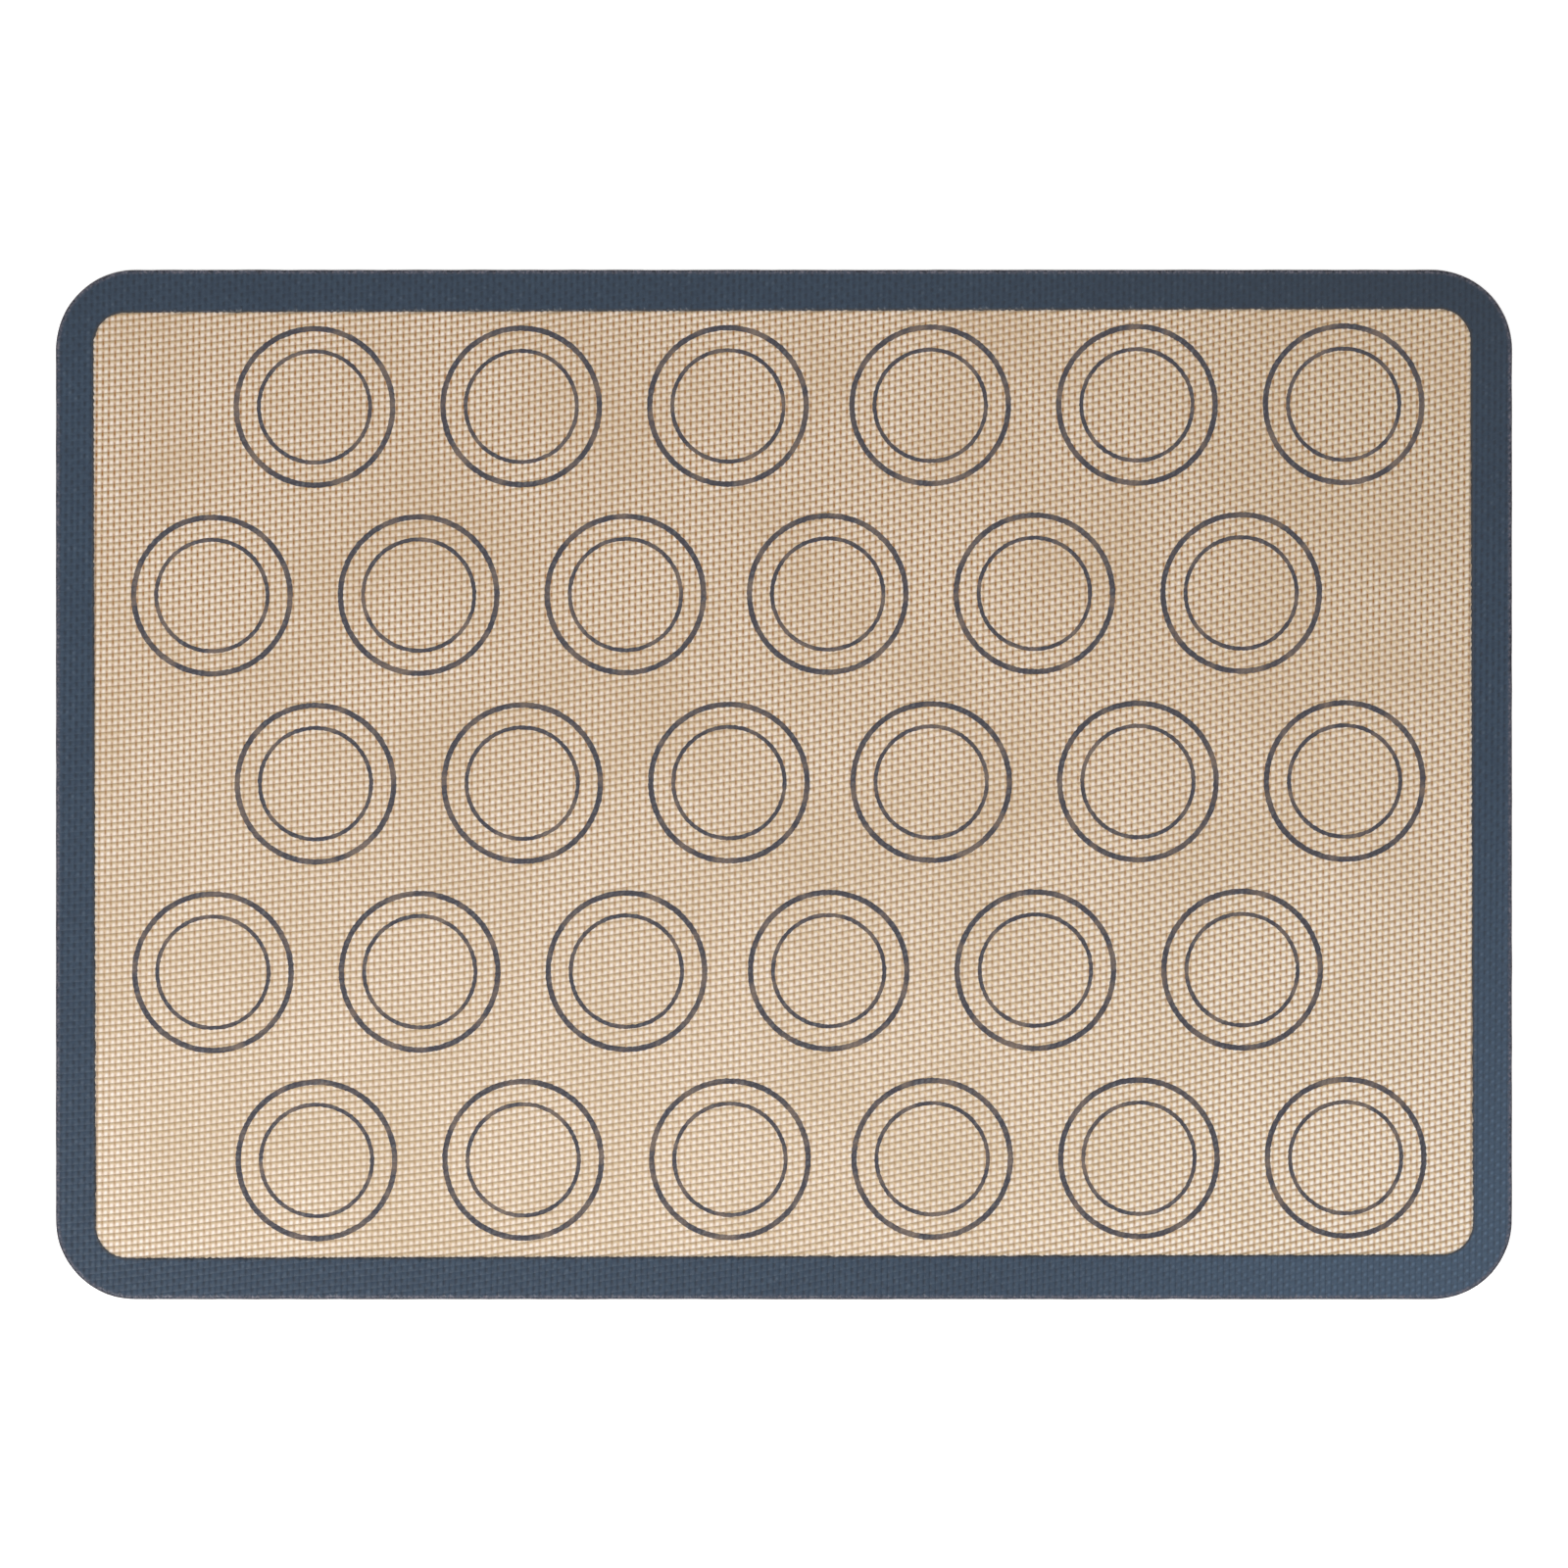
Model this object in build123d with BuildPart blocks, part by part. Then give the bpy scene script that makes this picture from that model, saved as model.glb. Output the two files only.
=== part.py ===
import os
from math import cos, radians, sin

from build123d import *

# Cut sheet: the long side lies along X, the underside is at Z = 0
mat_length = 420.0
mat_width = 297.0
mat_corner_radius = 23.0

# Edge seal: the wall of silicone that closes the cut edge
seal_wall = 0.4
seal_edge_round = 0.12

# Silicone coats over and under the glass cloth
bottom_skin = 0.18
top_skin = 0.23

# Glass cloth: flat yarns in two crossing layers, the warp over the weft
yarn_thickness = 0.12
warp_yarn_width = 1.35
warp_yarn_gap = 0.38
weft_yarn_width = 1.3
weft_yarn_gap = 0.55
weft_skew = 10.3            # degrees that the weft climbs towards +X

# Border bands of coloured silicone on both faces
band_thickness = 0.05
band_side_width = 11.5      # at the two short sides
band_long_width = 12.2      # along the two long sides
band_inner_radius = 9.2

# How far off the cut sheet's middle the top print sits, and how far it is turned
print_shift_x = -0.2
print_shift_y = 0.3
print_turn = 0.15           # degrees

# Round portion guides: two thin rings each, in staggered rows
guide_thickness = 0.05
outer_ring_diameter = 45.1  # at the middle of the printed line
outer_ring_line = 1.4
inner_ring_line = 0.9
ring_gap = 5.35             # clear band between the two lines of one guide
guide_pitch = 59.6          # from middle to middle along a row
guide_middle_pitch = 58.3   # the same between the two halves of a row
guide_row_pitch = 54.3
guide_row_stagger = 29.7    # how far the even rows sit to the left of the odd ones
guide_shift_x = -1.35
guide_shift_y = 0.3

# Levels, counted up from the underside
weft_level = band_thickness + bottom_skin
warp_level = weft_level + yarn_thickness
skin_level = warp_level + yarn_thickness
print_level = skin_level + top_skin
seal_height = print_level + band_thickness

# Plan sizes inside the edge seal, and of the tan field inside the border
inner_length = mat_length - 2 * seal_wall
inner_width = mat_width - 2 * seal_wall
inner_corner_radius = mat_corner_radius - seal_wall
field_length = mat_length - 2 * band_side_width
field_width = mat_width - 2 * band_long_width
print_place = Location((print_shift_x, print_shift_y, 0), (0, 0, print_turn))

# As many yarns as the sheet holds; the weft's reach is square to its skewed run
warp_pitch = warp_yarn_width + warp_yarn_gap
weft_pitch = weft_yarn_width + weft_yarn_gap
weft_reach = (
    (inner_length / 2 - inner_corner_radius) * sin(radians(weft_skew))
    + (inner_width / 2 - inner_corner_radius) * cos(radians(weft_skew))
    + inner_corner_radius
)
warp_count = int((inner_length + warp_yarn_gap) / warp_pitch)
weft_count = int((2 * weft_reach + weft_yarn_gap) / weft_pitch)
weft_cut_length = inner_length + inner_width

# Guide radii, and as many guides as the field holds at one pitch each
outer_ring_radius = outer_ring_diameter / 2 + outer_ring_line / 2
outer_ring_inside = outer_ring_radius - outer_ring_line
inner_ring_radius = outer_ring_inside - ring_gap
inner_ring_inside = inner_ring_radius - inner_ring_line
guides_per_row = int((field_length - guide_row_stagger) / guide_pitch)
guide_rows = int(field_width / guide_row_pitch)
middle_step = (guide_middle_pitch - guide_pitch) / 2

os.makedirs("parts", exist_ok=True)

# Underside border band, flush with the tan silicone inside it
with BuildPart() as underside_border_band:
    with BuildSketch():
        RectangleRounded(inner_length, inner_width, inner_corner_radius)
        RectangleRounded(field_length, field_width, band_inner_radius, mode=Mode.SUBTRACT)
    extrude(amount=band_thickness)
underside_border_band.part.label = "underside_border_band"
export_step(underside_border_band.part, "parts/underside_border_band.step")

# Bottom silicone coat, with a rebate round its rim for that band
with BuildPart() as bottom_silicone_coat:
    with BuildSketch():
        RectangleRounded(field_length, field_width, band_inner_radius)
    extrude(amount=band_thickness)
    with BuildSketch(Plane.XY.offset(band_thickness)):
        RectangleRounded(inner_length, inner_width, inner_corner_radius)
    extrude(amount=bottom_skin)
bottom_silicone_coat.part.label = "bottom_silicone_coat"
export_step(bottom_silicone_coat.part, "parts/bottom_silicone_coat.step")

# Weft yarns: the lower layer, laid across the sheet at their skew
with BuildPart() as weft_glass_yarns:
    with BuildSketch(Plane.XY.offset(weft_level)):
        with Locations(Location((0, 0, 0), (0, 0, weft_skew))):
            with GridLocations(0, weft_pitch, 1, weft_count):
                Rectangle(weft_cut_length, weft_yarn_width)
        RectangleRounded(inner_length, inner_width, inner_corner_radius, mode=Mode.INTERSECT)
    extrude(amount=yarn_thickness)
weft_glass_yarns.part.label = "weft_glass_yarns"
export_step(weft_glass_yarns.part, "parts/weft_glass_yarns.step")

# Warp yarns: the upper layer, straight along Y
with BuildPart() as warp_glass_yarns:
    with BuildSketch(Plane.XY.offset(warp_level)):
        with GridLocations(warp_pitch, 0, warp_count, 1):
            Rectangle(warp_yarn_width, inner_width)
        RectangleRounded(inner_length, inner_width, inner_corner_radius, mode=Mode.INTERSECT)
    extrude(amount=yarn_thickness)
warp_glass_yarns.part.label = "warp_glass_yarns"
export_step(warp_glass_yarns.part, "parts/warp_glass_yarns.step")

# Top silicone coat: the baking face
with BuildPart() as top_silicone_coat:
    with BuildSketch(Plane.XY.offset(skin_level)):
        RectangleRounded(inner_length, inner_width, inner_corner_radius)
    extrude(amount=top_skin)
top_silicone_coat.part.label = "top_silicone_coat"
export_step(top_silicone_coat.part, "parts/top_silicone_coat.step")

# Top border band, printed a little askew round the tan field
with BuildPart() as top_border_band:
    with BuildSketch(Plane.XY.offset(print_level)):
        RectangleRounded(inner_length, inner_width, inner_corner_radius)
        with Locations(print_place):
            RectangleRounded(field_length, field_width, band_inner_radius, mode=Mode.SUBTRACT)
    extrude(amount=band_thickness)
top_border_band.part.label = "top_border_band"
export_step(top_border_band.part, "parts/top_border_band.step")

# Edge seal round the whole sheet, from the underside to the top of the border band
with BuildPart() as edge_seal:
    with BuildSketch():
        RectangleRounded(mat_length, mat_width, mat_corner_radius)
        RectangleRounded(inner_length, inner_width, inner_corner_radius, mode=Mode.SUBTRACT)
    extrude(amount=seal_height)
    rim_edges = edge_seal.faces().sort_by(Axis.Z)[0].outer_wire().edges()
    rim_edges += edge_seal.faces().sort_by(Axis.Z)[-1].outer_wire().edges()
    fillet(rim_edges, radius=seal_edge_round)
edge_seal.part.label = "edge_seal"
export_step(edge_seal.part, "parts/edge_seal.step")

# Portion guides, counted from the far left, one node for each pair of rings
for row in range(guide_rows):
    row_x = guide_shift_x + guide_row_stagger * (0.5 - row % 2)
    row_y = guide_shift_y + guide_row_pitch * ((guide_rows - 1) / 2 - row)
    for place in range(guides_per_row):
        guide_x = row_x + guide_pitch * (place - (guides_per_row - 1) / 2)
        guide_x += middle_step if place >= guides_per_row / 2 else -middle_step
        name = f"guide_row_{row + 1}_place_{place + 1}"
        with BuildPart() as guide:
            with BuildSketch(Plane.XY.offset(print_level)):
                with Locations(print_place):
                    with Locations((guide_x, row_y)):
                        Circle(outer_ring_radius)
                        Circle(outer_ring_inside, mode=Mode.SUBTRACT)
                        Circle(inner_ring_radius)
                        Circle(inner_ring_inside, mode=Mode.SUBTRACT)
            extrude(amount=guide_thickness)
        guide.part.label = name
        export_step(guide.part, f"parts/{name}.step")
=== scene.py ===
import math

import bmesh
import bpy
from mathutils import Matrix, Vector, noise


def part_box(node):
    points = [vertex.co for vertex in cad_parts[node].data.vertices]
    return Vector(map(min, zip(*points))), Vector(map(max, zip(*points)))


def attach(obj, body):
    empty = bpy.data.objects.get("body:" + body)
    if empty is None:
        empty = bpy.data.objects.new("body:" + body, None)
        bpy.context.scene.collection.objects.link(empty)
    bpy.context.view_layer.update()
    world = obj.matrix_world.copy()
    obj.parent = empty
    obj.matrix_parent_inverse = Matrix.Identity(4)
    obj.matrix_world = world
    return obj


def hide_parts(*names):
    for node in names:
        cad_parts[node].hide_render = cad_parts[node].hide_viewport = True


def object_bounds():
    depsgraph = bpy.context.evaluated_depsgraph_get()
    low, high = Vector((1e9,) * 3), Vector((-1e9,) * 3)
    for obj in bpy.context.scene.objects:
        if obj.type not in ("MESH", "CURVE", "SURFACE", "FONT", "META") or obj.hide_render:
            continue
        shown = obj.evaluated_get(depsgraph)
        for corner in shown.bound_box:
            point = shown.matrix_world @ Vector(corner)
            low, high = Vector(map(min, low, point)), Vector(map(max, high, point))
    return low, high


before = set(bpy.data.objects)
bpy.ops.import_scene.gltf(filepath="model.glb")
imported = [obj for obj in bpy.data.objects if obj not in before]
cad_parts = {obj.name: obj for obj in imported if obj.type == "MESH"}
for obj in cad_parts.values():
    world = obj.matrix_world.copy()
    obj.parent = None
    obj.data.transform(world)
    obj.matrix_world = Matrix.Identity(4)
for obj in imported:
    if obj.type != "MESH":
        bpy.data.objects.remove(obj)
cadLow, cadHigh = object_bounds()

mm = 0.001
print("frame loaded, mat", [round(size / mm, 2) for size in cadHigh - cadLow])


# Camera: straight above the mat, framed as the photograph is
view = {
    "frameWidth": 452 * mm,      # what the picture shows from side to side
    "lens": 100,
    "sensor": 36,
    "middleX": 0.03 * mm,
    "middleY": 0.17 * mm,
    "clipEnd": 20,
}


def makeCamera():
    camera = bpy.data.objects.new("camera", bpy.data.cameras.new("camera"))
    bpy.context.scene.collection.objects.link(camera)
    camera.data.lens = view["lens"]
    camera.data.sensor_width = view["sensor"]
    height = view["frameWidth"] * view["lens"] / view["sensor"]
    camera.location = (view["middleX"], view["middleY"], height + cadHigh.z)
    camera.data.clip_end = view["clipEnd"]
    bpy.context.scene.camera = camera


# Light: one large soft lamp at the front left, a weaker one behind, and an even sky
lamps = {
    "key": {"at": (-0.46, -1.06, 1.09), "size": 0.8, "watts": 21.0},
    "back": {"at": (0.5, 1.2, 1.4), "size": 1.2, "watts": 3.7},
    "sky": 0.36,
    "floorSize": 8.0,
    "floorDrop": 0.02 * mm,      # how far the floor lies under the mat, so that the two never fight
    "floorRoughness": 0.9,
    "floorSpecular": 0.1,
    "floorWhite": 0.9,
    "floorLift": 0.62,           # what the floor adds for the eye alone, so that it reads as white paper
}


def makeLamp(name, spec):
    lamp = bpy.data.lights.new(name, "AREA")
    lamp.shape = "SQUARE"
    lamp.size = spec["size"]
    lamp.energy = spec["watts"]
    holder = bpy.data.objects.new(name, lamp)
    bpy.context.scene.collection.objects.link(holder)
    holder.location = spec["at"]
    holder.rotation_mode = "QUATERNION"
    holder.rotation_quaternion = Vector(spec["at"]).to_track_quat("Z", "Y")


def eyeRays(tree):
    path = tree.nodes.new("ShaderNodeLightPath")
    seen = calc(tree, "MAXIMUM", path.outputs["Is Camera Ray"], path.outputs["Is Glossy Ray"])
    return calc(tree, "MAXIMUM", seen, path.outputs["Is Transmission Ray"])


def makeSky():
    world = bpy.data.worlds.new("studio")
    bpy.context.scene.world = world
    world.use_nodes = True
    tree = world.node_tree
    background = tree.nodes["Background"]
    background.inputs["Color"].default_value = (1, 1, 1, 1)
    strength = calc(tree, "MULTIPLY_ADD", eyeRays(tree), 1 - lamps["sky"], lamps["sky"])
    tree.links.new(strength, background.inputs["Strength"])


def makeFloor():
    bm = bmesh.new()
    bmesh.ops.create_grid(bm, x_segments=1, y_segments=1, size=lamps["floorSize"] / 2)
    bmesh.ops.translate(bm, vec=(0, 0, -lamps["floorDrop"]), verts=bm.verts)
    floor = pieceFrom(bm, "studio_floor", paperMaterial())


def paperMaterial():
    material, tree, shader = newMaterial("paper")
    white = lamps["floorWhite"]
    shader.inputs["Base Color"].default_value = (white, white, white, 1)
    shader.inputs["Roughness"].default_value = lamps["floorRoughness"]
    shader.inputs["Specular IOR Level"].default_value = lamps["floorSpecular"]
    shader.inputs["Emission Color"].default_value = (1, 1, 1, 1)
    lift = calc(tree, "MULTIPLY", eyeRays(tree), lamps["floorLift"])
    tree.links.new(lift, shader.inputs["Emission Strength"])
    return material


# Small helpers for meshes and shader nodes
def pieceFrom(bm, name, material):
    mesh = bpy.data.meshes.new(name)
    bm.to_mesh(mesh)
    bm.free()
    mesh.materials.append(material)
    piece = bpy.data.objects.new(name, mesh)
    bpy.context.scene.collection.objects.link(piece)
    return piece


def vertsAmong(geometry):
    return [part for part in geometry if isinstance(part, bmesh.types.BMVert)]


def fitPiece(piece, node):
    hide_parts(node)
    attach(piece, "root")


def newMaterial(name):
    material = bpy.data.materials.new(name)
    material.use_nodes = True
    return material, material.node_tree, material.node_tree.nodes["Principled BSDF"]


def feed(tree, socket, value):
    if hasattr(value, "links"):
        tree.links.new(value, socket)
    else:
        socket.default_value = value


def calc(tree, operation, *values, clamp=False):
    node = tree.nodes.new("ShaderNodeMath")
    node.operation = operation
    node.use_clamp = clamp
    for socket, value in zip(node.inputs, values):
        feed(tree, socket, value)
    return node.outputs[0]


def fade(tree, value, start, end, low=0.0, high=1.0):
    node = tree.nodes.new("ShaderNodeMapRange")
    node.interpolation_type = "SMOOTHSTEP"
    feed(tree, node.inputs["Value"], value)
    node.inputs["From Min"].default_value = start
    node.inputs["From Max"].default_value = end
    node.inputs["To Min"].default_value = low
    node.inputs["To Max"].default_value = high
    return node.outputs["Result"]


def blend(tree, share, first, second, kind="MIX"):
    node = tree.nodes.new("ShaderNodeMix")
    node.data_type = "RGBA"
    node.blend_type = kind
    for socket, value in zip((node.inputs[0], node.inputs[6], node.inputs[7]), (share, first, second)):
        feed(tree, socket, value)
    return node.outputs[2]


def cloudy(tree, place, size):
    node = tree.nodes.new("ShaderNodeTexNoise")
    node.inputs["Scale"].default_value = 1 / size
    tree.links.new(place, node.inputs["Vector"])
    return node.outputs["Fac"]


def objectPlace(tree):
    return tree.nodes.new("ShaderNodeTexCoord").outputs["Object"]


def axesOf(tree, vector):
    split = tree.nodes.new("ShaderNodeSeparateXYZ")
    tree.links.new(vector, split.inputs[0])
    return split.outputs


def paint(red, green, blue):
    def linear(value):
        share = value / 255
        return share / 12.92 if share <= 0.04045 else ((share + 0.055) / 1.055) ** 2.4
    return linear(red), linear(green), linear(blue), 1.0


# The glass cloth's weave, which the silicone follows on both faces
weave = {
    "warpPitch": 1.73 * mm,
    "weftPitch": 1.88 * mm,
    "turn": math.radians(-0.46),
    "rise": 0.179,               # how the weft climbs to the right at the middle
    "riseGain": 0.398,           # and how much more it climbs for each metre
    "ripple": 0.026,
    "rippleLength": 96 * mm,
    "rippleStart": 73 * mm,
    "crown": 0.11 * mm,          # how far a crossing stands above the gaps
    "lowCrown": 0.85,            # share of that where the weft is on top
    "cornerSteps": 12,
    "roomForCuts": 3 * mm,
    "cutTolerance": 1e-8,
    "spare": 2 * mm,             # how far the crossings reach past the sheet before they are cut
    "spareColumns": 2,
    "spareRows": 3,
}
turnAcross, turnAlong = math.cos(weave["turn"]), math.sin(weave["turn"])


def weftClimb(x):
    wave = 2 * math.pi / weave["rippleLength"]
    ripple = weave["ripple"] / wave * math.sin(wave * (x - weave["rippleStart"]))
    return weave["rise"] * x + weave["riseGain"] * x * x / 2 - ripple


def weaveOf(x, y):
    across, along = x * turnAcross + y * turnAlong, y * turnAcross - x * turnAlong
    return across / weave["warpPitch"], (along - weftClimb(across)) / weave["weftPitch"]


def placeOf(u, v):
    across = u * weave["warpPitch"]
    along = v * weave["weftPitch"] + weftClimb(across)
    return across * turnAcross - along * turnAlong, along * turnAcross + across * turnAlong


def crownOf(u, v):
    return weave["crown"] * (1 if (math.floor(u) + math.floor(v)) % 2 else weave["lowCrown"])


def reliefAt(x, y):
    u, v = weaveOf(x, y)
    edge = max(abs(u % 1 - 0.5), abs(v % 1 - 0.5))
    return crownOf(u, v) * (1 - 2 * edge)


def markWeave(bm):
    layer = bm.verts.layers.float_vector.new("weave")
    for vert in bm.verts:
        vert[layer] = (*weaveOf(vert.co.x, vert.co.y), 0)


# A grid of one face for each crossing, with a crown poked up in it
def wovenCells(length, width):
    bm = bmesh.new()
    corners = [weaveOf(x * length / 2, y * width / 2) for x in (-1, 0, 1) for y in (-1, 1)]
    columns = 2 * math.ceil(max(abs(u) for u, v in corners)) + weave["spareColumns"]
    low = math.floor(min(v for u, v in corners)) - weave["spareRows"]
    high = math.ceil(max(v for u, v in corners)) + weave["spareRows"]
    bmesh.ops.create_grid(bm, x_segments=columns, y_segments=high - low, size=0.5)
    bmesh.ops.scale(bm, vec=(columns, high - low, 1), verts=bm.verts)
    bmesh.ops.translate(bm, vec=(0, (low + high) / 2, 0), verts=bm.verts)
    far = []
    for face in bm.faces:
        middle = face.calc_center_median()
        x, y = placeOf(middle.x, middle.y)
        if abs(x) > length / 2 + weave["spare"] or abs(y) > width / 2 + weave["spare"]:
            far.append(face)
    bmesh.ops.delete(bm, geom=far, context="FACES")
    for vert in bmesh.ops.poke(bm, faces=bm.faces)["verts"]:
        vert.co.z = crownOf(vert.co.x, vert.co.y)
    for vert in bm.verts:
        vert.co.x, vert.co.y = placeOf(vert.co.x, vert.co.y)
    return bm


# Outlines: rounded rectangles, as a distance to test by and as planes to cut along
def roundedDistance(point, length, width, radius):
    x = abs(point.x) - length / 2 + radius
    y = abs(point.y) - width / 2 + radius
    return math.hypot(max(x, 0), max(y, 0)) + min(max(x, y), 0) - radius


def nearestInside(spot, straightX, straightY):
    return Vector((max(-straightX, min(straightX, spot.x)), max(-straightY, min(straightY, spot.y)), 0))


def roundedCuts(length, width, radius, place):
    step = math.radians(90) / weave["cornerSteps"]
    for turn, reach in ((0, length / 2), (90, width / 2), (180, length / 2), (270, width / 2)):
        out = Vector((math.cos(math.radians(turn)), math.sin(math.radians(turn)), 0))
        yield place @ (out * reach), place.to_3x3() @ out, None
    for signX, signY in ((1, 1), (-1, 1), (-1, -1), (1, -1)):
        heart = Vector((signX * (length / 2 - radius), signY * (width / 2 - radius), 0))
        for index in range(weave["cornerSteps"]):
            angle = step * (index + 0.5)
            out = Vector((signX * math.cos(angle), signY * math.sin(angle), 0))
            reach = radius * math.cos(step / 2)
            yield place @ (heart + out * reach), place.to_3x3() @ out, (place @ heart, signX, signY)


def cutRounded(bm, length, width, radius, place, clear):
    room, back = weave["roomForCuts"], place.inverted()
    outline = (length, width, radius)
    rim = [face for face in bm.faces if abs(roundedDistance(back @ face.verts[0].co, *outline)) < room]
    for point, out, corner in roundedCuts(*outline, place):
        near, apart = [], []
        for face in rim:
            spot = face.verts[0].co
            close = abs((spot - point).dot(out)) < room
            if corner:
                heart, signX, signY = corner
                close = close and (spot.x - heart.x) * signX > -room and (spot.y - heart.y) * signY > -room
            (near if close else apart).append(face)
        edges = {edge for face in near for edge in face.edges}
        verts = {vert for face in near for vert in face.verts}
        made = bmesh.ops.bisect_plane(bm, geom=list(verts) + list(edges) + near, plane_co=point, plane_no=out,
                                      dist=weave["cutTolerance"], clear_outer=clear)["geom"]
        rim = apart + [part for part in made if isinstance(part, bmesh.types.BMFace)]
    for face in bm.faces:
        face.tag = (roundedDistance(back @ face.calc_center_median(), *outline) > 0) == clear
    bmesh.ops.delete(bm, geom=[face for face in bm.faces if face.tag], context="FACES")


# What the frame says of the mat
coatLow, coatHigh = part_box("top_silicone_coat")
bandLow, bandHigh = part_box("top_border_band")
baseLow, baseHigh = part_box("bottom_silicone_coat")
sheet = {
    "length": coatHigh.x - coatLow.x,
    "width": coatHigh.y - coatLow.y,
    "radius": 22.6 * mm,
    "printThickness": bandHigh.z - bandLow.z,
    "faceLevel": coatHigh.z,
    "coatBack": coatLow.z,
    "baseBack": baseHigh.z,
}
upright = Matrix.Identity(4)


# What the finishes share: where a point lies in its crossing, and the pillow of silicone over it
def weaveSigns(tree):
    mark = tree.nodes.new("ShaderNodeAttribute")
    mark.attribute_name = "weave"
    u, v, _ = axesOf(tree, mark.outputs["Vector"])
    column, row = calc(tree, "FLOOR", u), calc(tree, "FLOOR", v)
    cell = tree.nodes.new("ShaderNodeCombineXYZ")
    tree.links.new(column, cell.inputs[0])
    tree.links.new(row, cell.inputs[1])
    chance = tree.nodes.new("ShaderNodeTexWhiteNoise")
    tree.links.new(cell.outputs[0], chance.inputs["Vector"])
    sideU = calc(tree, "MULTIPLY_ADD", calc(tree, "FRACT", u), 2, -1)
    sideV = calc(tree, "MULTIPLY_ADD", calc(tree, "FRACT", v), 2, -1)
    half = calc(tree, "MULTIPLY", calc(tree, "ADD", column, row), 0.5)
    warpOver = calc(tree, "MULTIPLY", calc(tree, "FRACT", half), 2, clamp=True)
    return {
        "sideU": sideU,
        "sideV": sideV,
        "offU": calc(tree, "ABSOLUTE", sideU),
        "offV": calc(tree, "ABSOLUTE", sideV),
        "warpOver": warpOver,
        "handed": calc(tree, "MULTIPLY_ADD", warpOver, -2, 1),
        "chance": chance.outputs["Value"],
    }


def regionOf(tree, placeX, placeY, across, along):
    return calc(tree, "MULTIPLY", fade(tree, placeX, *across), fade(tree, placeY, *along))


# How the silicone drops from a crossing's middle to its sides, and how rough it is
pillow = {
    "steepness": 2.4,
    "columnDrop": (0.35, 0.55),              # gain where the warp is on top, and the drop without it
    "rowGain": -0.4,
    "grainSize": 0.35 * mm,
}


def pillowBump(tree, shader, signs, place, depth, grain, rows):
    dropU = calc(tree, "MULTIPLY", calc(tree, "POWER", signs["offU"], pillow["steepness"]),
                 calc(tree, "MULTIPLY_ADD", signs["warpOver"], *pillow["columnDrop"]))
    dropV = calc(tree, "MULTIPLY", calc(tree, "POWER", signs["offV"], pillow["steepness"]),
                 calc(tree, "MULTIPLY_ADD", signs["warpOver"], pillow["rowGain"] * rows, rows))
    height = calc(tree, "MULTIPLY", calc(tree, "ADD", dropU, dropV), -1)
    height = calc(tree, "MULTIPLY_ADD", cloudy(tree, place, pillow["grainSize"]), grain, height)
    bump = tree.nodes.new("ShaderNodeBump")
    bump.inputs["Distance"].default_value = depth
    tree.links.new(height, bump.inputs["Height"])
    tree.links.new(bump.outputs["Normal"], shader.inputs["Normal"])


def markRims(bm, place, inner):
    layer = bm.verts.layers.float_vector.new("rims")
    back = place.inverted()
    cut = (cadHigh.x - cadLow.x, cadHigh.y - cadLow.y, sheet["radius"] + cadHigh.x - coatHigh.x)
    for vert in bm.verts:
        vert[layer] = (roundedDistance(back @ vert.co, *inner), roundedDistance(vert.co, *cut), 0)


def rimSigns(tree):
    mark = tree.nodes.new("ShaderNodeAttribute")
    mark.attribute_name = "rims"
    return axesOf(tree, mark.outputs["Vector"])


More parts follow.
